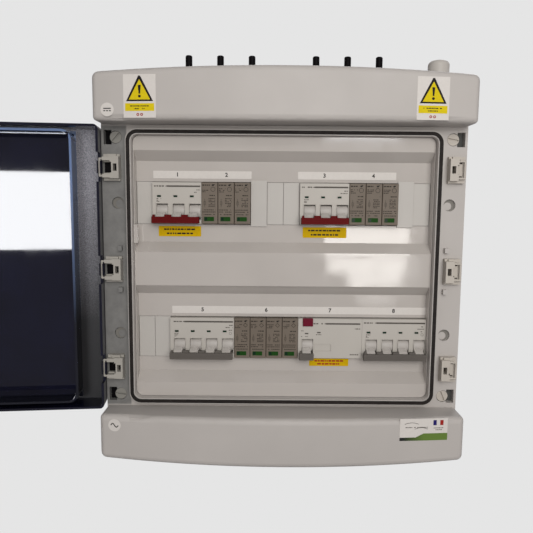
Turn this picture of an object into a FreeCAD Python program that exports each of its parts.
import FreeCAD, Part
import math
import os
import re
import Sketcher
from FreeCAD import Placement, Rotation, Vector

# Wall-mounted solar protection box: two rows of DIN-rail devices behind a masking panel,
# a smoked door hung on wire bows, string sockets and a cable gland in the top wall.
# Millimetres. X runs right, Z up, and the front faces -Y. The origin is the centre of the
# four wall fixing holes on the back face, so "depth" is the distance in front of the wall.

DIMENSIONS = {
    # enclosure
    "box_width": 388, "box_height": 400, "base_depth": 84, "wall": 2.5, "joint_gap": 2,
    "corner_radius": 5, "overcut": 5, "fixing_x": 300, "fixing_z": 330, "fixing_radius": 3.25,
    # cover: two convex bands above and below the door mouth
    "band_depth": 139, "band_bulge": 10, "band_height": 413.4, "band_arch": 5.7,
    "mouth_height": 306, "mouth_corner": 4, "channel_depth": 98, "rim_depth": 105, "soft_edge": 6,
    # seal and rim round the panel
    "seal_half_x": 164.4, "seal_half_z": 145.5, "seal_width": 3.6, "seal_radius": 10,
    "rim_land": 1.3, "groove_depth": 2, "seal_proud": 1.2,
    # masking panel
    "panel_half_x": 161.2, "panel_half_z": 142.4, "panel_depth": 96, "pan_depth": 84,
    "sheet": 2, "side_sheet": 0.7, "pan_top": 127, "pan_inner": 18.2, "pan_slope_x": 0.2,
    "pan_slope_z": 10.6, "tab_z": 38, "tab_half": 10, "tab_wide": 4, "tab_proud": 2.5,
    # rows of devices
    "row_up": 71.3, "row_low": -77.7, "slot_half_x": 160.3, "slot_half_z": 23.2,
    "module": 17.8, "first_slot": -160.2, "side_play": 0.2,
    "rail_depth": 36.5, "rail_height": 35, "rail_hat": 7.5, "rail_sheet": 1, "rail_length": 318,
    "post_x": 120, "post_size": 14,
    "nose_depth": 90, "nose_half": 22.3, "shoulder_depth": 80, "body_half": 43, "body_back": 32,
    "wire_port_depth": 60, "port_radius": 2.6, "port_length": 8, "terminal_z": 33,
    # levers
    "pivot_depth": 83, "pivot_rise": -8.5, "shaft_start": 6.4, "shaft_end": 8.4, "lever_length": 19,
    "lever_width": 9.2, "lever_thick": 5, "lever_angle": 30, "drum_radius": 7.4, "shaft_radius": 1.5,
    "slot_shift": 1.8, "slot_half": 6.2, "arm_shift": 0.6, "slot_rise": 7.8, "slot_drop": 9.4,
    "running_gap": 0.05, "bar_depth": 96.5, "bar_thick": 6.5, "bar_drop": 6.1, "bar_height": 7,
    # surge cartridges
    "plug_depth": 92, "plug_root": 50, "blade_length": 6, "blade_width": 8, "blade_thick": 1.2,
    "blade_z": 15,
    # door
    "door_height": 303, "door_edge_depth": 100, "door_depth": 131, "window_depth": 137,
    "door_wall": 2.5, "border_x": 28, "border_z": 6, "bevel_x": 4, "bevel_z": 4,
    "tongue_depth": 107, "tongue_thick": 2.4, "boss_first": 12, "boss_pitch": 8, "boss_drop": 5.5,
    "boss_radius": 2, "notch_depth": 111, "door_open": 174,
    # marks and pegs in the side channels
    "dimple_x": 177.6, "dimple_z": 71, "dimple_radius": 6.4, "dimple_deep": 3,
    "peg_x": 175.6, "peg_z": 22.5, "peg_half_x": 2.2, "peg_half_z": 2.6, "peg_length": 6,
    # bows and blocks
    "hinge_x": 193.8, "hinge_depth": 107, "bow_radius": 1.1, "bow_half": 8.9, "bow_arm": 13.4,
    "hook_radius": 3, "hook_half": 6.5, "latch_travel": 4.4, "block_outer": 190.6,
    "block_inner": 173.4, "tower_outer": 182.6, "block_half": 13.8, "tower_half": 11.5,
    "prong_half": 1.9, "cavity_half": 5.6,
    "block_pitch": 108, "foot_depth": 103.4, "tower_depth": 109.4, "nub_depth": 106,
    # cover screws
    "screw_x": 178.8, "screw_z": 140, "screw_head": 6.25, "screw_shaft": 3, "screw_grip": 22,
    "screw_tower": 8, "screw_block_x": 12.2, "screw_block_z": 10.5, "pocket_x": 8.4,
    "pocket_half_x": 4.2, "pocket_half_z": 7.6, "pocket_deep": 8,
    # sockets and gland in the top wall
    "entry_depth": 50, "socket_pitch": 35.5, "socket_first": 36, "gland_x": 174,
    "socket_thread": 5.9, "socket_flats": 15, "gland_thread": 10, "gland_flats": 24,
    "entry_play": 0.15,
    # residual-current device's test button and face relief, and the earth bar
    "button_half_x": 5.6, "button_half_z": 4.25, "button_proud": 2.2,
    "relief_x": 44.65, "relief_z": -88.2, "relief_half_x": 10.15, "relief_half_z": 3.8,
    "rcd_button_x": 28.7, "rcd_button_z": -59.4, "earth_x": 90, "earth_z": -170,
    "earth_half": 50, "earth_back": 10, "earth_front": 19, "earth_foot": 40, "earth_pitch": 9.5,
    "wire_radius": 2,
}

doc = FreeCAD.newDocument("combiner_box")
sheet = doc.addObject("Spreadsheet::Sheet", "Dims")
for row, (alias, number) in enumerate(DIMENSIONS.items(), start=1):
    sheet.set(f"A{row}", alias)
    sheet.set(f"B{row}", str(number))
    sheet.setAlias(f"B{row}", alias)
doc.recompute()

nodes = []


# ---------------------------------------------------------------- expressions and helpers

def bound(expression):
    """Point every dimension's alias in an expression at the sheet."""
    def refer(match):
        word = match.group(0)
        return f"Dims.{word}" if word in DIMENSIONS else word
    return re.sub(r"[a-z][a-z_]*", refer, str(expression))


def value(expression):
    """Number that an expression stands for now."""
    return float(sheet.evalExpression(bound(expression)))


def bind(obj, prop, expression):
    obj.setExpression(prop, bound(expression))


def place(obj, x, y, z):
    for axis, expression in zip("xyz", (x, y, z)):
        bind(obj, f"Placement.Base.{axis}", expression)


def node(obj, name):
    """Register a finished sub-part under the name of its file."""
    obj.Label = name
    nodes.append(obj)
    return obj


def block(name, x, y, z):
    """Box between (low, high) expressions on each axis."""
    box = doc.addObject("Part::Box", name)
    for prop, (low, high) in zip(("Length", "Width", "Height"), (x, y, z)):
        bind(box, prop, f"({high}) - ({low})")
    place(box, x[0], y[0], z[0])
    return box


def layer(near, far):
    """Y range of a layer that runs from one depth in front of the wall to another."""
    return (f"-({far})", f"-({near})")


def about(centre, half):
    return (f"{centre} - ({half})", f"{centre} + ({half})")


DEPTH_AXIS = Vector(0, 1, 0)
AXIS_TURN = {
    "x": Rotation(Vector(0, 1, 0), 90),
    "y": Rotation(Vector(1, 0, 0), -90),
    "z": Rotation(),
}


def rod(name, axis, radius, start, length):
    """Cylinder that grows along +axis from a start point of three expressions."""
    cylinder = doc.addObject("Part::Cylinder", name)
    bind(cylinder, "Radius", radius)
    bind(cylinder, "Height", length)
    cylinder.Placement = Placement(Vector(), AXIS_TURN[axis])
    place(cylinder, *start)
    return cylinder


def hexagon(name, across_flats, start, length):
    """Upright hexagonal prism with flats facing +X and -X."""
    prism = doc.addObject("Part::Prism", name)
    prism.Polygon = 6
    bind(prism, "Circumradius", f"({across_flats}) / 2 / cos(30 deg)")
    bind(prism, "Height", length)
    prism.Placement = Placement(Vector(), Rotation(Vector(0, 0, 1), 30))
    place(prism, *start)
    return prism


def frustum(name, x_front, z_front, x_back, z_back, depth_front, depth_back):
    """Tapered block, wide at the front, between two depths; x and z are (low, high)."""
    wedge = doc.addObject("Part::Wedge", name)
    sizes = {"Xmin": x_front[0], "Xmax": x_front[1], "Zmin": z_front[0], "Zmax": z_front[1],
             "X2min": x_back[0], "X2max": x_back[1], "Z2min": z_back[0], "Z2max": z_back[1],
             "Ymin": f"-({depth_front})", "Ymax": f"-({depth_back})"}
    for prop, expression in sizes.items():
        bind(wedge, prop, expression)
    return wedge


def fuse(name, parts):
    joined = doc.addObject("Part::MultiFuse", name)
    joined.Shapes = parts
    return joined


def cut(name, base, tools):
    result = doc.addObject("Part::Cut", name)
    result.Base = base
    result.Tool = tools[0] if len(tools) == 1 else fuse(f"{name}_tools", tools)
    return result


def group(name, parts):
    """Separate solids kept together in one sub-part."""
    compound = doc.addObject("Part::Compound", name)
    compound.Links = parts
    return compound


def rounded(name, obj, radius, keep):
    """Round the edges that the test picks."""
    doc.recompute()
    fillet = doc.addObject("Part::Fillet", name)
    fillet.Base = obj
    size = value(radius)
    picked = [i for i, edge in enumerate(obj.Shape.Edges, start=1) if keep(edge)]
    fillet.Edges = [(i, size, size) for i in picked]
    return fillet


def runs_along(edge, direction):
    """True for a straight edge parallel to a direction."""
    if edge.Curve.TypeId != "Part::GeomLine":
        return False
    return edge.Curve.Direction.cross(direction).Length < 1e-6


def upright_edge(edge):
    """True for a straight edge that runs from the wall to the front."""
    return runs_along(edge, DEPTH_AXIS)


# ---------------------------------------------------------------- sketched bodies

def new_body(name):
    return doc.addObject("PartDesign::Body", name)


def sketch_on(body, name, role, offset="0"):
    """Sketch on one of the body's own origin planes, moved along its normal."""
    drawing = body.newObject("Sketcher::SketchObject", name)
    plane = [f for f in body.Origin.OriginFeatures if f.Role == role][0]
    drawing.AttachmentSupport = [(plane, "")]
    drawing.MapMode = "FlatFace"
    bind(drawing, "AttachmentOffset.Base.z", offset)
    return drawing


def pin(drawing, geometry, point, x, y):
    """Hold a sketch point at two bound coordinates."""
    for kind, expression in (("DistanceX", x), ("DistanceY", y)):
        rule = Sketcher.Constraint(kind, geometry, point, value(expression))
        bind(drawing, f"Constraints[{drawing.addConstraint(rule)}]", expression)


def set_radius(drawing, geometry, radius):
    rule = Sketcher.Constraint("Radius", geometry, value(radius))
    bind(drawing, f"Constraints[{drawing.addConstraint(rule)}]", radius)


def arc_middle(start, end, radius):
    """Middle of an arc that bulges to the right on its way, or to the left if radius < 0."""
    chord = end - start
    right = Vector(chord.y, -chord.x, 0).normalize()
    size = abs(radius)
    rise = size - math.sqrt(size ** 2 - (chord.Length / 2) ** 2)
    middle = (start + end) / 2 + right * math.copysign(rise, radius)
    return middle


def outline(drawing, corners, arcs=None):
    """Closed loop through bound corners; arcs maps a side's index to (radius, bulge side)."""
    arcs = arcs or {}
    points = [Vector(value(x), value(y), 0) for x, y in corners]
    ends = []
    for i, start in enumerate(points):
        finish = points[(i + 1) % len(points)]
        if i in arcs:
            radius, side = arcs[i]
            middle = arc_middle(start, finish, value(radius) * side)
            geometry = drawing.addGeometry(Part.Arc(start, middle, finish), False)
            first_is_start = drawing.getPoint(geometry, 1).distanceToPoint(start) < 1e-4
            ends.append((geometry, 1, 2) if first_is_start else (geometry, 2, 1))
            set_radius(drawing, geometry, radius)
        else:
            geometry = drawing.addGeometry(Part.LineSegment(start, finish), False)
            ends.append((geometry, 1, 2))
    for i, (geometry, start, finish) in enumerate(ends):
        following = ends[(i + 1) % len(ends)]
        rule = Sketcher.Constraint("Coincident", geometry, finish, following[0], following[1])
        drawing.addConstraint(rule)
        pin(drawing, geometry, start, *corners[i])


def rectangle(drawing, x, y):
    outline(drawing, [(x[0], y[0]), (x[1], y[0]), (x[1], y[1]), (x[0], y[1])])


def soft_rectangle(drawing, half_x, half_y, radius):
    """Centred rectangle with round corners."""
    xs, ys = f"({half_x})", f"({half_y})"
    near_x, near_y = f"({xs} - ({radius}))", f"({ys} - ({radius}))"
    corners = [(f"-{near_x}", f"-{ys}"), (near_x, f"-{ys}"), (xs, f"-{near_y}"), (xs, near_y),
               (near_x, ys), (f"-{near_x}", ys), (f"-{xs}", near_y), (f"-{xs}", f"-{near_y}")]
    outline(drawing, corners, {i: (radius, 1) for i in (1, 3, 5, 7)})


def circle(drawing, x, y, radius):
    centre = Vector(value(x), value(y), 0)
    geometry = drawing.addGeometry(Part.Circle(centre, Vector(0, 0, 1), value(radius)), False)
    pin(drawing, geometry, 3, x, y)
    set_radius(drawing, geometry, radius)


def grow(body, kind, name, drawing, length, forward=True, symmetric=False):
    """Pad or Pocket of a bound length, along or against the sketch's normal."""
    feature = body.newObject(f"PartDesign::{kind}", name)
    feature.Profile = (drawing, [])
    bind(feature, "Length", length)
    feature.SideType = "Symmetric" if symmetric else "One side"
    feature.Reversed = forward is (kind == "Pocket")
    drawing.Visibility = False
    body.Tip = feature
    return feature


def soften(body, name, radius, keep):
    """PartDesign fillet on the edges of the current tip that the test picks."""
    doc.recompute()
    tip = body.Tip
    picked = [f"Edge{i}" for i, edge in enumerate(tip.Shape.Edges, start=1) if keep(edge)]
    fillet = body.newObject("PartDesign::Fillet", name)
    fillet.Base = (tip, picked)
    bind(fillet, "Radius", radius)
    body.Tip = fillet
    return fillet


CORNERS = [(sx, sz) for sx in (-1, 1) for sz in (-1, 1)]


def signed(sign, expression):
    return f"{sign} * ({expression})"


# ---------------------------------------------------------------- enclosure

def make_back_box():
    """Wall box: tray with fixing holes in the back and entries in the top."""
    body = new_body("back_box_body")
    shell = sketch_on(body, "base_outline", "XZ_Plane")
    soft_rectangle(shell, "box_width / 2", "box_height / 2", "corner_radius")
    grow(body, "Pad", "base_block", shell, "base_depth")
    soften(body, "base_back_edges", "wall", lambda e: abs(e.CenterOfMass.y) < 0.01)
    room = sketch_on(body, "base_room", "XZ_Plane", "wall")
    soft_rectangle(room, "box_width / 2 - wall", "box_height / 2 - wall", "corner_radius - wall")
    grow(body, "Pocket", "base_cavity", room, "base_depth")
    fixings = sketch_on(body, "wall_fixings", "XZ_Plane")
    for sx, sz in CORNERS:
        circle(fixings, signed(sx, "fixing_x / 2"), signed(sz, "fixing_z / 2"), "fixing_radius")
    grow(body, "Pocket", "wall_fixing_holes", fixings, "wall + 1")
    entries = sketch_on(body, "top_entries", "XY_Plane", "box_height / 2 - wall - 1")
    for x in socket_places():
        circle(entries, x, "-entry_depth", "socket_thread + entry_play")
    circle(entries, "gland_x", "-entry_depth", "gland_thread + entry_play")
    grow(body, "Pocket", "top_entry_holes", entries, "wall + 2")
    node(body, "back_box")


def make_posts():
    """Posts bonded to the back wall: under the rails, under the earth bar, and for the screws."""
    posts = []
    for row_z in ("row_up", "row_low"):
        for side in (-1, 0, 1):
            tag, x = f"rail_post_{len(posts)}", signed(side, "post_x")
            solid = block(f"{tag}_solid", about(x, "post_size / 2"),
                          layer("wall", "rail_depth - rail_hat"), about(row_z, "post_size / 2"))
            pilot = rod(f"{tag}_pilot", "y", "2", (x, "-rail_depth", row_z), "rail_depth - wall - 4")
            posts.append(cut(tag, solid, [pilot]))
    for side in (-1, 1):
        posts.append(block(f"earth_foot_{len(posts)}", about(f"earth_x + {side} * earth_foot", "6"),
                           layer("wall", "earth_back"), about("earth_z", "6")))
    node(group("post_group", posts), "rail_posts")
    towers = []
    for sx, sz in CORNERS:
        tag, x, z = f"tower_{len(towers)}", signed(sx, "screw_x"), signed(sz, "screw_z")
        solid = rod(f"{tag}_solid", "y", "screw_tower", (x, "-base_depth", z), "base_depth - wall")
        bore = rod(f"{tag}_bore", "y", "screw_shaft + running_gap", (x, "-(base_depth + 1)", z),
                   "screw_grip + 1")
        towers.append(cut(tag, solid, [bore]))
    node(group("tower_group", towers), "screw_towers")


def socket_places():
    """X of the six string sockets: two groups of three."""
    steps = [f"socket_first + {i} * socket_pitch" for i in range(3)]
    return [signed(side, step) for side in (-1, 1) for step in steps]


def make_front_cover():
    """Cover: arched convex bands, open mouth with side channels, seal rim and panel ledge."""
    body = new_body("front_cover_body")
    back = "base_depth + joint_gap"
    half_x, side_z = "box_width / 2", "(band_height / 2 - band_arch)"
    arch = "(box_width ^ 2 / 4 + band_arch ^ 2) / (2 * band_arch)"
    bulge = "(box_width ^ 2 / 4 + band_bulge ^ 2) / (2 * band_bulge)"
    face = sketch_on(body, "cover_outline", "XZ_Plane", back)
    corners = [(f"-{half_x}", f"-{side_z}"), (half_x, f"-{side_z}"), (half_x, side_z),
               (f"-{half_x}", side_z)]
    outline(face, corners, {0: (arch, 1), 2: (arch, 1)})
    grow(body, "Pad", "cover_block", face, f"band_depth - ({back})")
    front = sketch_on(body, "band_plan", "XY_Plane")
    side_y = "-(band_depth - band_bulge)"
    past_x, past_y = f"{half_x} + overcut", "-band_depth - overcut"
    corners = [(f"-{half_x}", side_y), (half_x, side_y), (past_x, side_y), (past_x, past_y),
               (f"-({past_x})", past_y), (f"-({past_x})", side_y)]
    outline(front, corners, {0: (bulge, 1)})
    grow(body, "Pocket", "band_front_cut", front, "box_height * 2", symmetric=True)
    mouth = sketch_on(body, "mouth", "XZ_Plane", "channel_depth")
    rectangle(mouth, about("0", past_x), about("0", "mouth_height / 2"))
    grow(body, "Pocket", "mouth_cut", mouth, "band_depth")
    above_mouth = value("mouth_height / 2 + 20")
    soften(body, "cover_upright_corners", "corner_radius + 2",
           lambda e: runs_along(e, DEPTH_AXIS) and abs(e.CenterOfMass.z) > above_mouth)
    soften(body, "mouth_outer_corners", "mouth_corner",
           lambda e: runs_along(e, DEPTH_AXIS) and abs(e.CenterOfMass.x) > value(half_x) - 0.01
           and abs(abs(e.CenterOfMass.z) - value("mouth_height / 2")) < 0.01)
    soften(body, "cover_front_edges", "soft_edge",
           lambda e: e.BoundBox.XLength > 300 and abs(e.CenterOfMass.z) > value("box_height / 2")
           and e.CenterOfMass.y < -value(back) - 20)
    for sign, name in ((1, "upper"), (-1, "lower")):
        hollow = sketch_on(body, f"{name}_band_room", "XY_Plane",
                           signed(sign, "mouth_height / 2 + wall"))
        inner_y = "-(band_depth - band_bulge - wall)"
        inner_x = "(box_width / 2 - wall)"
        corners = [(f"-{inner_x}", "-base_depth"), (f"-{inner_x}", inner_y), (inner_x, inner_y),
                   (inner_x, "-base_depth")]
        outline(hollow, corners, {1: (f"{bulge} - wall", 1)})
        feature = grow(body, "Pocket", f"{name}_band_cavity", hollow,
                       "box_height / 2 - wall - (mouth_height / 2 + wall)")
        feature.Reversed = sign == 1
    floor = sketch_on(body, "mouth_underside", "XZ_Plane", back)
    rectangle(floor, (f"-({half_x} - wall)", f"{half_x} - wall"),
              about("0", "mouth_height / 2 + wall + 0.5"))
    grow(body, "Pocket", "mouth_underside_cut", floor, f"channel_depth - wall - ({back})")
    rim = sketch_on(body, "seal_rim", "XZ_Plane", "channel_depth - wall")
    land = "seal_width / 2 + rim_land"
    soft_rectangle(rim, f"seal_half_x + {land}", f"seal_half_z + {land}", f"seal_radius + {land}")
    grow(body, "Pad", "seal_rim_pad", rim, "rim_depth - channel_depth + wall")
    collar = sketch_on(body, "panel_collar", "XZ_Plane", f"{back} + 2")
    soft_rectangle(collar, "seal_half_x", "seal_half_z", "seal_radius")
    grow(body, "Pad", "panel_collar_pad", collar, f"channel_depth - 1 - ({back} + 2)")
    opening = sketch_on(body, "panel_opening", "XZ_Plane", "panel_depth - 5")
    soft_rectangle(opening, "panel_half_x + 0.3", "panel_half_z + 0.3", "seal_radius - 3")
    grow(body, "Pocket", "panel_opening_cut", opening, "20")
    ledge = sketch_on(body, "ledge_opening", "XZ_Plane", back)
    soft_rectangle(ledge, "panel_half_x + 0.3", "panel_half_z - 2.6", "seal_radius - 3")
    grow(body, "Pocket", "ledge_opening_cut", ledge, "20")
    groove = sketch_on(body, "seal_groove", "XZ_Plane", "rim_depth - groove_depth")
    for offset in ("seal_width / 2", "-(seal_width / 2)"):
        soft_rectangle(groove, f"seal_half_x + {offset}", f"seal_half_z + {offset}",
                       f"seal_radius + {offset}")
    grow(body, "Pocket", "seal_groove_cut", groove, "groove_depth + 1")
    sleeves = sketch_on(body, "screw_blocks", "XZ_Plane", f"{back} + 1")
    for sx, sz in CORNERS:
        rectangle(sleeves, about(signed(sx, "screw_x + 2"), "screw_block_x"),
                  about(signed(sz, "screw_z"), "screw_block_z"))
    grow(body, "Pad", "screw_block_pad", sleeves, f"channel_depth - wall / 2 - ({back} + 1)")
    backs = sketch_on(body, "dimple_backs", "XZ_Plane", "channel_depth - dimple_deep - wall / 2")
    for sx, sz in CORNERS:
        circle(backs, signed(sx, "dimple_x"), signed(sz, "dimple_z"), "dimple_radius + wall / 2")
    grow(body, "Pad", "dimple_back_pad", backs, "dimple_deep")
    wells = sketch_on(body, "screw_wells", "XZ_Plane", "channel_depth - 7")
    throats = sketch_on(body, "screw_throats", "XZ_Plane", back)
    vents = sketch_on(body, "screw_side_pockets", "XZ_Plane", "channel_depth - pocket_deep")
    for sx, sz in CORNERS:
        x, z = signed(sx, "screw_x"), signed(sz, "screw_z")
        circle(wells, x, z, "screw_head + 0.45")
        circle(throats, x, z, "screw_shaft + running_gap")
        rectangle(vents, about(signed(sx, "screw_x + pocket_x"), "pocket_half_x"),
                  about(z, "pocket_half_z"))
    grow(body, "Pocket", "screw_well_holes", wells, "20")
    grow(body, "Pocket", "screw_throat_holes", throats, "20")
    grow(body, "Pocket", "screw_side_pocket_cut", vents, "20")
    dimples = sketch_on(body, "channel_dimples", "XZ_Plane", "channel_depth - dimple_deep")
    for sx, sz in CORNERS:
        circle(dimples, signed(sx, "dimple_x"), signed(sz, "dimple_z"), "dimple_radius")
    grow(body, "Pocket", "channel_dimple_cut", dimples, "overcut")
    pegs = sketch_on(body, "stop_pegs", "XZ_Plane", "channel_depth - 1")
    for sx, sz in CORNERS:
        rectangle(pegs, about(signed(sx, "peg_x"), "peg_half_x"), about(signed(sz, "peg_z"), "peg_half_z"))
    grow(body, "Pad", "stop_peg_pad", pegs, "peg_length")
    node(body, "front_cover")


def ring_body(name, half_x, half_z, radius, width, start, thickness):
    """Flat closed ring of rectangular section, centred on a rounded rectangle."""
    body = new_body(f"{name}_body")
    drawing = sketch_on(body, f"{name}_section", "XZ_Plane", start)
    for offset in (f"({width}) / 2", f"-({width}) / 2"):
        soft_rectangle(drawing, f"{half_x} + {offset}", f"{half_z} + {offset}",
                       f"{radius} + {offset}")
    grow(body, "Pad", f"{name}_ring", drawing, thickness)
    return node(body, name)


def make_seals():
    ring_body("door_seal", "seal_half_x", "seal_half_z", "seal_radius", "seal_width",
              "rim_depth - groove_depth", "groove_depth + seal_proud")
    ring_body("box_seal", "(box_width / 2 - wall / 2)", "(box_height / 2 - wall / 2)",
              "(corner_radius - wall / 2)", "wall - 0.8", "base_depth", "joint_gap")


def make_inner_panel():
    """Masking panel: lid with two tapered pans, one slot in each pan for the device noses."""
    lid = block("panel_lid", about("0", "panel_half_x"), layer("panel_depth - 5", "panel_depth"),
                about("0", "panel_half_z"))
    room = block("panel_lid_room", about("0", "panel_half_x - sheet"),
                 layer("panel_depth - 6", "panel_depth - sheet"), about("0", "panel_half_z - sheet"))
    lid = rounded("panel_lid_corners", lid, "seal_radius - 2.6", upright_edge)
    room = rounded("panel_room_corners", room, "seal_radius - 4.6", upright_edge)
    tray = cut("panel_tray", lid, [room])
    outers, inners, slots = [], [], []
    for name, sign, row_z in (("upper", 1, "row_up"), ("lower", -1, "row_low")):
        low, high = ("pan_inner", "pan_top") if sign > 0 else ("-pan_top", "-pan_inner")
        front_x = about("0", "panel_half_x - side_sheet")
        back_x = about("0", "panel_half_x - side_sheet - pan_slope_x")
        back_z = (f"{low} + pan_slope_z", f"{high} - pan_slope_z")
        inners.append(frustum(f"{name}_pan_room", front_x, (low, high), back_x, back_z,
                              "panel_depth + 0.001", "pan_depth"))
        grown_front_x = about("0", "panel_half_x - 0.01")
        grown_back_x = about("0", "panel_half_x - 0.1")
        grown_z = (f"{low} - sheet", f"{high} + sheet")
        grown_back_z = (f"{low} + pan_slope_z - sheet", f"{high} - pan_slope_z + sheet")
        outers.append(frustum(f"{name}_pan_skin", grown_front_x, grown_z, grown_back_x,
                              grown_back_z, "panel_depth - 0.5", "pan_depth - sheet"))
        slots.append(block(f"{name}_slot", about("0", "slot_half_x"),
                           layer("pan_depth - 5", "panel_depth + 1"), about(row_z, "slot_half_z")))
    pressed = fuse("panel_skin", [tray] + outers)
    tab = block("panel_tab", ("-panel_half_x", "-panel_half_x + tab_wide"),
                layer("panel_depth - 1", "panel_depth + tab_proud"), about("tab_z", "tab_half"))
    with_tab = fuse("panel_with_tab", [cut("panel_open", pressed, inners), tab])
    node(cut("panel_finished", with_tab, slots), "inner_panel")


# ---------------------------------------------------------------- rails and their screws

def make_rails():
    """Two top-hat rails on the posts, and six screws that hold them."""
    hat = "13.5"
    for name, row_z in (("upper", "row_up"), ("lower", "row_low")):
        body = new_body(f"rail_{name}_body")
        section = sketch_on(body, f"rail_{name}_section", "YZ_Plane", "-rail_length / 2")
        flange = "rail_height / 2"
        back, front, skin = "-(rail_depth - rail_hat)", "-rail_depth", "rail_sheet"
        right = [(back, hat), (f"{front} + {skin}", hat), (f"{front} + {skin}", flange),
                 (front, flange), (front, f"{hat} - {skin}"), (f"{back} - {skin}", f"{hat} - {skin}")]
        half = [(y, f"{row_z} + {z}") for y, z in right]
        mirrored = [(y, f"{row_z} - ({z})") for y, z in reversed(right)]
        outline(section, half + mirrored)
        grow(body, "Pad", f"rail_{name}_length", section, "rail_length")
        holes = sketch_on(body, f"rail_{name}_holes", "XZ_Plane", "rail_depth - rail_hat - 1")
        for side in (-1, 0, 1):
            circle(holes, signed(side, "post_x"), row_z, "2.3")
        grow(body, "Pocket", f"rail_{name}_hole_cut", holes, "5")
        node(body, f"din_rail_{name}")
    screws = []
    for row_z in ("row_up", "row_low"):
        for side in (-1, 0, 1):
            tag = f"rail_screw_{len(screws)}"
            start = "-(rail_depth - rail_hat + rail_sheet)"
            stem = rod(f"{tag}_stem", "y", "1.95", (signed(side, "post_x"), start, row_z), "18")
            head = rod(f"{tag}_head", "y", "3.6", (signed(side, "post_x"), f"{start} - 2.4", row_z),
                       "2.4")
            drive = block(f"{tag}_drive", about(signed(side, "post_x"), "2.6"),
                          (f"{start} - 3", f"{start} - 1.2"), about(row_z, "0.4"))
            screws.append(cut(tag, fuse(f"{tag}_blank", [stem, head]), [drive]))
    node(group("rail_screw_group", screws), "rail_screws")


# ---------------------------------------------------------------- DIN-rail devices

def device_outline(row_z, nose):
    """Side profile of a device as (y, z) corners: rail jaws at the back, shoulders, nose."""
    jaw, lip = "15.2", "rail_height / 2 + 0.2"
    hook = "rail_depth - rail_sheet - 0.15"
    half = [("body_back", jaw), (hook, jaw), (hook, lip), ("rail_depth + 0.15", lip)]
    corners = [(f"-({depth})", f"{row_z} - ({z})") for depth, z in reversed(half)]
    corners += [("-body_back", f"{row_z} - body_half"), ("-shoulder_depth", f"{row_z} - body_half")]
    for depth, z in nose:
        corners.append((f"-({depth})", f"{row_z} - ({z})"))
    for depth, z in reversed(nose):
        corners.append((f"-({depth})", f"{row_z} + ({z})"))
    corners += [("-shoulder_depth", f"{row_z} + body_half"), ("-body_back", f"{row_z} + body_half")]
    corners += [(f"-({depth})", f"{row_z} + ({z})") for depth, z in half]
    return corners


NOSE = [("shoulder_depth", "nose_half"), ("nose_depth", "nose_half")]
WELL = [("shoulder_depth", "nose_half + 0.6"), ("plug_root", "nose_half + 0.6")]


def slot_edge(slot):
    """X where a module slot starts, counted from the left end of the row."""
    return f"first_slot + {slot} * module"


def device_body(name, slot, modules, row_z, nose):
    """Extruded housing with a screw well and a wire port for each pole, top and bottom."""
    body = new_body(f"{name}_body")
    section = sketch_on(body, f"{name}_section", "YZ_Plane", f"{slot_edge(slot)} + side_play / 2")
    outline(section, device_outline(row_z, nose))
    grow(body, "Pad", f"{name}_block", section, f"{modules} * module - side_play")
    screws = sketch_on(body, f"{name}_terminals", "XZ_Plane", "shoulder_depth - 12")
    for pole in range(modules):
        for side in (-1, 1):
            circle(screws, pole_centre(slot, pole), f"{row_z} + {side} * terminal_z", "port_radius")
    grow(body, "Pocket", f"{name}_terminal_wells", screws, "20")
    for side, word in ((-1, "lower"), (1, "upper")):
        ports = sketch_on(body, f"{name}_{word}_ports", "XY_Plane",
                          f"{row_z} + {side} * (body_half - port_length)")
        for pole in range(modules):
            circle(ports, pole_centre(slot, pole), "-wire_port_depth", "port_radius")
        feature = grow(body, "Pocket", f"{name}_{word}_port_holes", ports, "port_length + 2")
        feature.Reversed = side == 1
    return body


def pole_centre(slot, pole):
    return f"{slot_edge(slot)} + ({pole} + 0.5) * module"


def lever_pivot(row_z):
    """Y and Z of the lever shaft."""
    return "-pivot_depth", f"{row_z} + pivot_rise"


def lever_arm(name, x, row_z, length):
    """Lever blade that leans forward and down from the shaft."""
    arm = doc.addObject("Part::Box", name)
    bind(arm, "Length", "lever_width")
    bind(arm, "Width", length)
    bind(arm, "Height", "lever_thick")
    pivot = Vector(value(x), -value("pivot_depth"), value(f"{row_z} + pivot_rise"))
    lean = Rotation(Vector(1, 0, 0), 180 + value("lever_angle"))
    corner = lean.multVec(Vector(-value("lever_width") / 2, 0, -value("lever_thick") / 2))
    arm.Placement = Placement(pivot + corner, lean)
    return arm


def switch_housing(name, slot, modules, row_z, toggle_poles):
    """Device body with a window for each toggle and a bore for the toggles' shaft."""
    y, z = lever_pivot(row_z)
    body = device_body(name, slot, modules, row_z, NOSE)
    window = sketch_on(body, f"{name}_toggle_windows", "XZ_Plane", "pivot_depth - drum_radius - 0.6")
    for pole in toggle_poles:
        rectangle(window, about(f"{pole_centre(slot, pole)} + slot_shift", "slot_half"),
                  (f"{z} - slot_drop", f"{z} + slot_rise"))
    grow(body, "Pocket", f"{name}_toggle_window_cut", window, "20")
    first, last = toggle_poles[0], toggle_poles[-1]
    bore = sketch_on(body, f"{name}_shaft_bore", "YZ_Plane",
                     f"{pole_centre(slot, first)} - shaft_start - 0.2")
    circle(bore, y, z, "shaft_radius + running_gap")
    feature = grow(body, "Pocket", f"{name}_shaft_bore_cut", bore,
                   f"{last - first} * module + shaft_start + shaft_end + 0.4")
    feature.Reversed = True
    return body


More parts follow.
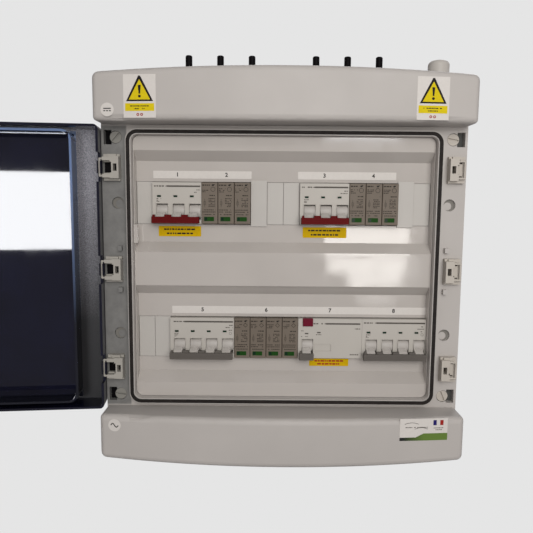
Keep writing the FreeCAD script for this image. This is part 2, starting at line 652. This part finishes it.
def switch_levers(name, slot, row_z, toggle_poles, bar_poles):
    """Toggles on one shaft, and the bar that ties their tips."""
    y, z = lever_pivot(row_z)
    first, last = toggle_poles[0], toggle_poles[-1]
    levers = [rod(f"{name}_shaft", "x", "shaft_radius",
                  (f"{pole_centre(slot, first)} - shaft_start", y, z),
                  f"{last - first} * module + shaft_start + shaft_end")]
    sockets = []
    for pole in toggle_poles:
        x = pole_centre(slot, pole)
        levers.append(rod(f"{name}_drum_{pole}", "x", "drum_radius",
                          (f"{x} + slot_shift - slot_half + 0.3", y, z), "2 * slot_half - 0.6"))
        arm_x = f"{x} + arm_shift"
        levers.append(lever_arm(f"{name}_arm_{pole}", arm_x, row_z, "lever_length"))
        sockets.append(lever_arm(f"{name}_arm_socket_{pole}", arm_x, row_z, "lever_length"))
    word = "toggle" if len(toggle_poles) == 1 else "toggles"
    node(fuse(f"{name}_levers", levers), f"{name}_{word}")
    bar_x = [f"{slot_edge(slot)} + ({pole}) * module" for pole in bar_poles]
    z_high = f"{z} - bar_drop"
    bar = block(f"{name}_bar", bar_x, layer("bar_depth", "bar_depth + bar_thick"),
                (f"{z_high} - bar_height", z_high))
    eased = rounded(f"{name}_bar_eased", bar, "1", lambda e: runs_along(e, Vector(0, 0, 1)))
    node(cut(f"{name}_bar_fitted", eased, sockets), f"{name}_handle")


def make_switch(name, slot, modules, row_z, bar_poles):
    """Breaker-style device with a toggle on every pole."""
    poles = tuple(range(modules))
    node(switch_housing(name, slot, modules, row_z, poles), f"{name}_body")
    switch_levers(name, slot, row_z, poles, bar_poles)


def make_rcd(slot, row_z):
    """Residual-current device: one toggle, and a test button in a pocket of its own."""
    body = switch_housing("rcd", slot, 4, row_z, (0,))
    pocket = sketch_on(body, "rcd_button_pocket", "XZ_Plane", "nose_depth - 8")
    rectangle(pocket, about("rcd_button_x", "button_half_x + running_gap * 3"),
              about("rcd_button_z", "button_half_z + running_gap * 3"))
    grow(body, "Pocket", "rcd_button_pocket_cut", pocket, "20")
    relief = sketch_on(body, "rcd_nose_relief", "XZ_Plane", "nose_depth - 1")
    rectangle(relief, about("relief_x", "relief_half_x"), about("relief_z", "relief_half_z"))
    grow(body, "Pocket", "rcd_nose_relief_cut", relief, "overcut")
    node(body, "rcd_body")
    switch_levers("rcd", slot, row_z, (0,), ("0.05", "0.95"))
    face = "nose_depth + button_proud"
    cap = block("button_cap", about("rcd_button_x", "button_half_x"), layer("nose_depth - 5", face),
                about("rcd_button_z", "button_half_z"))
    eased = rounded("button_eased", cap, "0.8", lambda e: e.CenterOfMass.y < -value(face) + 0.01)
    node(eased, "rcd_test_button")


def make_surge(name, slot, cartridges, row_z):
    """Surge arrester: a U-shaped base with contact slots and one plug-in cartridge per pole."""
    body = device_body(f"{name}_base", slot, cartridges, row_z, WELL)
    contacts = sketch_on(body, f"{name}_contacts", "XZ_Plane", "plug_root - blade_length - 1")
    for pole in range(cartridges):
        for side in (-1, 1):
            rectangle(contacts, about(pole_centre(slot, pole), "blade_width / 2 + 0.2"),
                      about(f"{row_z} + {side} * blade_z", "blade_thick / 2 + 0.15"))
    grow(body, "Pocket", f"{name}_contact_slots", contacts, "20")
    node(body, f"{name}_base")
    for pole in range(cartridges):
        tag = f"{name}_cartridge_{pole + 1}"
        x = pole_centre(slot, pole)
        case = block(f"{tag}_case", about(x, "module / 2 - 0.25"),
                     layer("plug_root + 0.2", "plug_depth"), about(row_z, "nose_half"))
        eased = rounded(f"{tag}_eased", case, "0.8",
                        lambda e: e.CenterOfMass.y < -value("plug_depth") + 0.01)
        blades = [block(f"{tag}_blade_{side}", about(x, "blade_width / 2"),
                        layer("plug_root - blade_length", "plug_root + 1"),
                        about(f"{row_z} + {side} * blade_z", "blade_thick / 2")) for side in (-1, 1)]
        node(fuse(f"{tag}_whole", [eased] + blades), tag)


def make_devices():
    """Both rows from left to right: name, first module slot, number of modules, row."""
    make_switch("isolator_1", 1, 3, "row_up", ("0.06", "2.92"))
    make_surge("surge_1", 4, 3, "row_up")
    make_switch("isolator_2", 10, 3, "row_up", ("0.06", "2.92"))
    make_surge("surge_2", 13, 3, "row_up")
    make_switch("breaker_1", 2, 4, "row_low", ("0.06", "3.94"))
    make_surge("surge_3", 6, 4, "row_low")
    make_rcd(10, "row_low")
    make_switch("breaker_2", 14, 4, "row_low", ("0.02", "3.9"))


def make_blanking_plates():
    """Snap-in plates that close the unused module slots; the first of each run is taller."""
    plates = []
    runs = (("row_up", 0, 1), ("row_up", 7, 3), ("row_up", 16, 2), ("row_low", 0, 2))
    for row_z, first, count in runs:
        for i in range(count):
            tag = f"blank_{len(plates)}"
            left, right = slot_edge(first + i), slot_edge(first + i + 1)
            low = "-(slot_half_x - 0.3)" if first + i == 0 else f"{left} + 0.15"
            high = "slot_half_x - 0.3" if first + i == 17 else f"{right} - 0.15"
            tall = i == 0 and first > 0
            if tall:
                face = block(f"{tag}_face", (low, high), layer("pan_depth", "pan_depth + 2"),
                             about(row_z, "slot_half_z + 1.8"))
            else:
                face = block(f"{tag}_face", (low, high), layer("pan_depth - 1.5", "pan_depth + 0.4"),
                             about(row_z, "slot_half_z - 0.3"))
            root = block(f"{tag}_root", (f"{low} + 1", f"{high} - 1"),
                         layer("pan_depth - 8", "pan_depth + 0.2"), about(row_z, "slot_half_z - 0.3"))
            room = block(f"{tag}_room", (f"{low} - 1", f"{high} + 1"),
                         layer("pan_depth - 9", "pan_depth - 1.5"), about(row_z, "slot_half_z - 2"))
            plates.append(cut(tag, fuse(f"{tag}_blank", [face, root]), [room]))
    node(group("blanking_plate_group", plates), "blanking_plates")


# ---------------------------------------------------------------- bows, blocks and screws

def bow(name, side, row_z, inset):
    """U of round wire: an upright bar with two arms that run in towards the middle."""
    x = signed(side, f"hinge_x - {inset}")
    y = "-hinge_depth"
    upright = rod(f"{name}_bar", "z", "bow_radius", (x, y, f"{row_z} - bow_half"), "2 * bow_half")
    parts = [upright]
    for end in (-1, 1):
        z = f"{row_z} + {end} * bow_half"
        start = x if side < 0 else f"{x} - bow_arm"
        parts.append(rod(f"{name}_arm_{end + 1}", "x", "bow_radius", (start, y, z), "bow_arm"))
        ball = doc.addObject("Part::Sphere", f"{name}_bend_{end + 1}")
        bind(ball, "Radius", "bow_radius")
        place(ball, x, y, z)
        parts.append(ball)
    return fuse(name, parts)


def bow_block(name, side, row_z, gap):
    """Block in the side channel that carries one bow's arms."""
    def across(inner, outer):
        return (inner, outer) if side > 0 else (f"-({outer})", f"-({inner})")
    foot = block(f"{name}_foot", across("block_inner", "block_outer"),
                 layer("channel_depth", "foot_depth"), about(row_z, "block_half"))
    tower = block(f"{name}_tower", across("block_inner", "tower_outer"),
                  layer("channel_depth", "tower_depth"), about(row_z, "tower_half"))
    nub = block(f"{name}_nub", across("tower_outer - 6", "tower_outer + 3"),
                layer("foot_depth - 0.4", "nub_depth"), about(f"{row_z} + block_half - 1.6", "1.6"))
    window = block(f"{name}_window", across("block_inner + 2", "block_inner + 6"),
                   layer("channel_depth + 1", "tower_depth + 2"), about(row_z, "3.8"))
    notch = block(f"{name}_notch", across("tower_outer - 1.5", "tower_outer + 1"),
                  layer("nub_depth - 1.5", "tower_depth + 2"), about(row_z, "5"))
    solids, tools = [foot, tower, nub], [window, notch]
    if side < 0:
        tools.append(block(f"{name}_cavity", across("tower_outer - 1.6", "block_outer + 1"),
                           layer("channel_depth + 0.8", "tower_depth + 2"),
                           about(row_z, "cavity_half")))
    for end in (-1, 1):
        z = f"{row_z} + {end} * bow_half"
        if side < 0:
            solids.append(block(f"{name}_prong_{end + 1}", across("tower_outer - 1", "block_outer"),
                                layer("channel_depth", "tower_depth"), about(z, "prong_half")))
        start = "block_inner + 1.5" if side > 0 else "-(block_outer + 1)"
        tools.append(rod(f"{name}_bore_{end + 1}", "x", f"bow_radius + {gap}",
                         (start, "-hinge_depth", z), "block_outer - block_inner - 0.5"))
    return cut(name, fuse(f"{name}_solid", solids), tools)


def make_bows():
    """Hinge bows fixed on the left; latch bows on the right that slide out to lock the door."""
    rows = {"upper": "block_pitch", "middle": "0", "lower": "-block_pitch"}
    hinge_side = [bow_block(f"hinge_block_{name}", -1, z, "0") for name, z in rows.items()]
    latch_side = [bow_block(f"latch_block_{name}", 1, z, "running_gap") for name, z in rows.items()]
    node(group("hinge_block_group", hinge_side), "hinge_blocks")
    node(group("latch_block_group", latch_side), "latch_blocks")
    node(group("hinge_bow_group", [bow(f"hinge_bow_{n}", -1, z, "0") for n, z in rows.items()]),
         "hinge_bows")
    for name, z in rows.items():
        node(bow(f"latch_bow_{name}_wire", 1, z, "latch_travel"), f"latch_bow_{name}")


# lean of each cover screw's slot in degrees, by its side and its end
SCREW_SLOTS = {(-1, 1): -50, (1, 1): 10, (-1, -1): 8, (1, -1): 68}


def make_cover_screws():
    """Quarter-turn cover screws in the four corners of the side channels."""
    words = {-1: "left", 1: "right"}
    for sx, sz in CORNERS:
        name = f"cover_screw_{'upper' if sz > 0 else 'lower'}_{words[sx]}"
        x, z = signed(sx, "screw_x"), signed(sz, "screw_z")
        head = rod(f"{name}_head", "y", "screw_head", (x, "-(channel_depth - 0.6)", z), "6")
        shaft = rod(f"{name}_shaft", "y", "screw_shaft", (x, "-(channel_depth - 6.3)", z),
                    "screw_grip + 5")
        length, deep, width = 10.5, 2.5, 1.6
        drive = doc.addObject("Part::Box", f"{name}_drive")
        drive.Length, drive.Width, drive.Height = length, deep, width
        turn = Rotation(Vector(0, 1, 0), SCREW_SLOTS[sx, sz])
        centre = Vector(value(x), -value("channel_depth"), value(z))
        drive.Placement = Placement(centre + turn.multVec(Vector(-length / 2, 0, -width / 2)), turn)
        node(cut(f"{name}_slotted", fuse(f"{name}_blank", [head, shaft]), [drive]), name)


# ---------------------------------------------------------------- door

def door_skin():
    """Outside and inside of the door: flanged tray with a raised, bevelled window."""
    half_x, half_z = "(box_width / 2)", "(door_height / 2)"
    window_x, window_z = f"({half_x} - border_x)", f"({half_z} - border_z)"
    tray = block("door_block", about("0", half_x), layer("door_edge_depth", "door_depth"),
                 about("0", half_z))
    tray = rounded("door_corners", tray, "corner_radius", upright_edge)
    tray = rounded("door_front_edge", tray, "2",
                   lambda e: e.CenterOfMass.y < -value("door_depth") + 0.01)
    glass = frustum("window_skin", about("0", f"{window_x} - bevel_x"),
                    about("0", f"{window_z} - bevel_z"), about("0", window_x),
                    about("0", window_z), "window_depth", "door_depth - 0.5")
    room = block("door_room", about("0", f"{half_x} - door_wall"),
                 layer("door_edge_depth - overcut", "door_depth - door_wall"),
                 about("0", f"{half_z} - door_wall"))
    room = rounded("door_room_corners", room, "corner_radius - door_wall", upright_edge)
    inset = "door_wall * 0.6"
    glass_room = frustum("window_room", about("0", f"{window_x} - bevel_x - {inset}"),
                         about("0", f"{window_z} - bevel_z - {inset}"),
                         about("0", f"{window_x} - {inset}"), about("0", f"{window_z} - {inset}"),
                         "window_depth - door_wall", "door_depth - door_wall - 0.5")
    return fuse("door_shell", [tray, glass]), [room, glass_room]


def seal_tongue():
    """Ring rib inside the door that stands over the seal's centreline."""
    loops = []
    for word, sign, extra in (("outer", 1, 0), ("inner", -1, 1)):
        across = f"{sign} * tongue_thick / 2"
        loop = block(f"tongue_{word}_block", about("0", f"seal_half_x + {across}"),
                     layer(f"tongue_depth - {extra}", f"door_depth - door_wall + 0.5 + {extra}"),
                     about("0", f"seal_half_z + {across}"))
        loops.append(rounded(f"tongue_{word}", loop, f"seal_radius + {across}", upright_edge))
    return cut("seal_tongue", loops[0], [loops[1]])


def make_door():
    """Smoked one-piece door: tray, window, seal tongue, and hooks for the bows on both edges.

    It is drawn closed and then swung open about the bar of the hinge bows."""
    shell, tools = door_skin()
    additions = [seal_tongue()]
    half_x = "box_width / 2"
    rows = {"upper": "block_pitch", "middle": "0", "lower": "-block_pitch"}
    for side, word in ((-1, "left"), (1, "right")):
        past, within = signed(side, f"{half_x} + overcut"), signed(side, f"{half_x} - 6")
        span = (past, within) if side < 0 else (within, past)
        for name, z in rows.items():
            tag = f"door_{word}_{name}"
            tools.append(block(f"{tag}_notch", span, layer("door_edge_depth - 2", "notch_depth"),
                               about(z, "block_half + 1.4")))
            additions.append(door_hook(tag, side, z))
    for i in range(2):
        start = (f"-{half_x} + boss_first + {i} * boss_pitch", "-(door_depth - door_wall + 0.5)",
                 "door_height / 2 - boss_drop")
        additions.append(rod(f"door_boss_{i}", "y", "boss_radius", start, "1.7"))
    door = fuse("door_whole", [cut("door_tray", shell, tools)] + additions)
    doc.recompute()
    hinge = Vector(-value("hinge_x"), -value("hinge_depth"), 0)
    swing = Rotation(Vector(0, 0, 1), -value("door_open"))
    door.Placement = Placement(Vector(), swing, hinge)
    node(door, "door")


def door_hook(tag, side, z):
    """C-shaped hook that clips round a bow's bar.

    Its mouth faces the back on the hinge side, and the middle on the latch side."""
    x, y = signed(side, "hinge_x"), "-hinge_depth"
    ring = rod(f"{tag}_ring", "z", "hook_radius", (x, y, f"{z} - hook_half"), "2 * hook_half")
    inner, outer = "hinge_x - 3", "hinge_x + 1.2"
    across = (inner, outer) if side > 0 else (f"-({outer})", f"-({inner})")
    web = block(f"{tag}_web", across, layer("hinge_depth + 1.6", "notch_depth + 2"),
                about(z, "hook_half"))
    eye = rod(f"{tag}_eye", "z", "bow_radius + running_gap", (x, y, f"{z} - hook_half - 1"),
              "2 * hook_half + 2")
    if side > 0:
        mouth_x, mouth_y = ("hinge_x - 5", "hinge_x"), about(y, "bow_radius + running_gap")
    else:
        mouth_x, mouth_y = about(x, "bow_radius * 0.8"), (y, f"{y} + 5")
    mouth = block(f"{tag}_mouth", mouth_x, mouth_y, about(z, "hook_half + 1"))
    return cut(f"{tag}_hook", fuse(f"{tag}_blank", [ring, web]), [eye, mouth])


# ---------------------------------------------------------------- top entries

def make_sockets():
    """String sockets: nose and collar outside the wall, threaded tail and nut inside."""
    top, y = "box_height / 2", "-entry_depth"
    sockets, nuts = [], []
    for i, x in enumerate(socket_places()):
        tag = f"socket_{i}"
        collar = hexagon(f"{tag}_collar", "socket_flats", (x, y, top), "4")
        shell = rod(f"{tag}_shell", "z", "5.4", (x, y, f"{top} + 4"), "12")
        nose = rod(f"{tag}_nose", "z", "3.8", (x, y, f"{top} + 15"), "21")
        nose = rounded(f"{tag}_tip", nose, "1.6", lambda e: e.CenterOfMass.z > value(top) + 30)
        tail = rod(f"{tag}_tail", "z", "socket_thread", (x, y, f"{top} - 14"), "15")
        crimp = rod(f"{tag}_crimp", "z", "3.6", (x, y, f"{top} - 24"), "11")
        sockets.append(fuse(tag, [collar, shell, nose, tail, crimp]))
        nut = hexagon(f"{tag}_nut", "socket_flats", (x, y, f"{top} - wall - 4.5"), "4.5")
        bore = rod(f"{tag}_nut_bore", "z", "socket_thread + running_gap", (x, y, f"{top} - wall - 5"), "6")
        nuts.append(cut(f"{tag}_nut_bored", nut, [bore]))
    node(group("socket_group", sockets), "dc_sockets")
    node(group("socket_nut_group", nuts), "dc_socket_nuts")


def make_gland():
    """Cable gland: body through the wall, locknut inside, domed nut with a rubber insert."""
    x, y, top = "gland_x", "-entry_depth", "box_height / 2"

    def barrel(tag, radius, low, length):
        return rod(f"gland_{tag}", "z", radius, (x, y, f"{top} + {low}"), length)

    def nut(tag, low, length):
        return hexagon(f"gland_{tag}", "gland_flats", (x, y, f"{top} + {low}"), length)

    outer = fuse("gland_outer", [barrel("thread", "gland_thread", "-14", "15"),
                                 barrel("spigot", "9", "4", "12"), nut("collar", "0", "5")])
    node(cut("gland_bored", outer, [barrel("body_bore", "7.5", "-15", "35")]), "gland_body")
    dome = barrel("dome", "11.8", "15", "17")
    dome = rounded("gland_dome_round", dome, "5", lambda e: e.CenterOfMass.z > value(top) + 31)
    cap = fuse("gland_nut_outer", [nut("nut_flats", "6", "9"), dome])
    bores = [barrel("nut_bore", "9.05", "5", "17"), barrel("mouth", "7", "20", "15")]
    node(cut("gland_nut_bored", cap, bores), "gland_dome_nut")
    insert = barrel("insert_outer", "9", "16", "5.5")
    node(cut("gland_insert_bored", insert, [barrel("insert_bore", "6.5", "15", "10")]), "gland_insert")
    bore = barrel("locknut_bore", "gland_thread", "-10", "9")
    node(cut("gland_locknut_bored", nut("locknut_hex", "-(wall + 5)", "5"), [bore]), "gland_locknut")


# ---------------------------------------------------------------- earth bar and wires

def make_earth_bar():
    """Brass bar with cross holes for earth wires, on two feet of the wall box."""
    bar = block("earth_bar_solid", about("earth_x", "earth_half"), layer("earth_back", "earth_front"),
                about("earth_z", "4"))
    middle_y = "-(earth_back + earth_front) / 2"
    holes = [rod(f"earth_hole_{i}", "z", "2.2",
                 (f"earth_x + {i - 4} * earth_pitch", middle_y, "earth_z - 5"), "10")
             for i in range(9)]
    node(cut("earth_bar_drilled", bar, holes), "earth_terminal")


bends = []


def wire(points, radius):
    """Round wire along straight runs joined by tangent arcs as large as the runs allow."""
    places = [Vector(*p) for p in points]
    path, last = [], places[0]
    for before, corner, after in zip(places, places[1:], places[2:]):
        way_in, way_out = corner - before, after - corner
        turn = way_in.getAngle(way_out)
        reach = 0.45 * min(way_in.Length, way_out.Length)
        towards, away = Vector(way_in).normalize(), Vector(way_out).normalize()
        start, finish = corner - towards * reach, corner + away * reach
        bend = reach / math.tan(turn / 2)
        bends.append(bend)
        rise = bend * (1 / math.cos(turn / 2) - 1)
        middle = corner + (away - towards).normalize() * rise
        path.append(Part.LineSegment(last, start).toShape())
        path.append(Part.Arc(start, middle, finish).toShape())
        last = finish
    path.append(Part.LineSegment(last, places[-1]).toShape())
    spine = Part.Wire(path)
    along = (places[1] - places[0]).normalize()
    profile = Part.Wire([Part.Circle(places[0], along, radius).toShape()])
    return spine.makePipeShell([profile], True, False)


def wire_node(name, routes):
    radius = value("wire_radius")
    feature = doc.addObject("Part::Feature", f"{name}_tubes")
    feature.Shape = Part.Compound([wire(route, radius) for route in routes])
    node(feature, name)
    print(name, "bend radii", sorted({round(bend, 1) for bend in bends}))
    bends.clear()


SEAT = 6


def link(x_from, x_to, z_port, drop, depth):
    """U-shaped wire between two ports on one face; drop is negative when it hangs down."""
    port = z_port - math.copysign(SEAT, drop)
    z_far = z_port + drop
    return [(x_from, -depth, port), (x_from, -depth, z_far), (x_to, -depth, z_far),
            (x_to, -depth, port)]


def make_wires():
    """Wiring behind the panel: string feeds and links to the surge arresters.

    Every end sits in its port by the length SEAT. The links of a group nest, so each one
    hangs a step lower or rises a step higher than the last."""
    depth, entry = value("wire_port_depth"), value("entry_depth")
    port_low, port_high = value("row_up - body_half"), value("row_up + body_half")
    tail_end, first_bend = value("box_height / 2 - 24"), value("box_height / 2 - 40")
    feeds = []
    sockets = sorted(value(x) for x in socket_places())
    for group_sockets, slot in ((sockets[:3], 1), (sockets[3:], 10)):
        for i, x_socket in enumerate(group_sockets):
            x_pole = value(pole_centre(slot, i))
            feeds.append([(x_socket, -entry, tail_end), (x_socket, -entry, first_bend),
                          (x_pole, -depth, port_high + 22), (x_pole, -depth, port_high - SEAT)])
            feeds.append(link(value(pole_centre(slot, 2 - i)), value(pole_centre(slot + 3, i)),
                              port_low, -(11 + 8.5 * i), depth))
    wire_node("dc_wires", feeds)
    loops = []
    low_port, high_port = value("row_low - body_half"), value("row_low + body_half")
    for i in range(4):
        loops.append(link(value(pole_centre(2, 3 - i)), value(pole_centre(6, i)), low_port,
                          -(11 + 9 * i), depth))
        loops.append(link(value(pole_centre(10, 3 - i)), value(pole_centre(14, i)), high_port,
                          10 + 6.5 * i, depth))
    wire_node("ac_wires", loops)


doc_parts = (make_back_box, make_posts, make_front_cover, make_seals, make_inner_panel, make_rails,
             make_devices, make_blanking_plates, make_bows, make_cover_screws, make_door, make_sockets,
             make_gland, make_earth_bar, make_wires)
for make in doc_parts:
    make()
doc.recompute()

for obj in doc.Objects:
    faults = {"Invalid", "Error"} & set(obj.State)
    if faults:
        raise RuntimeError(f"{obj.Name} failed: {obj.State}")
os.makedirs("parts", exist_ok=True)
for obj in nodes:
    if obj.Shape.isNull() or not obj.Shape.isValid():
        raise RuntimeError(f"{obj.Label} has no valid shape")
    obj.Shape.exportStep(f"parts/{obj.Label}.step")
    print(obj.Label, len(obj.Shape.Solids), round(obj.Shape.Volume))
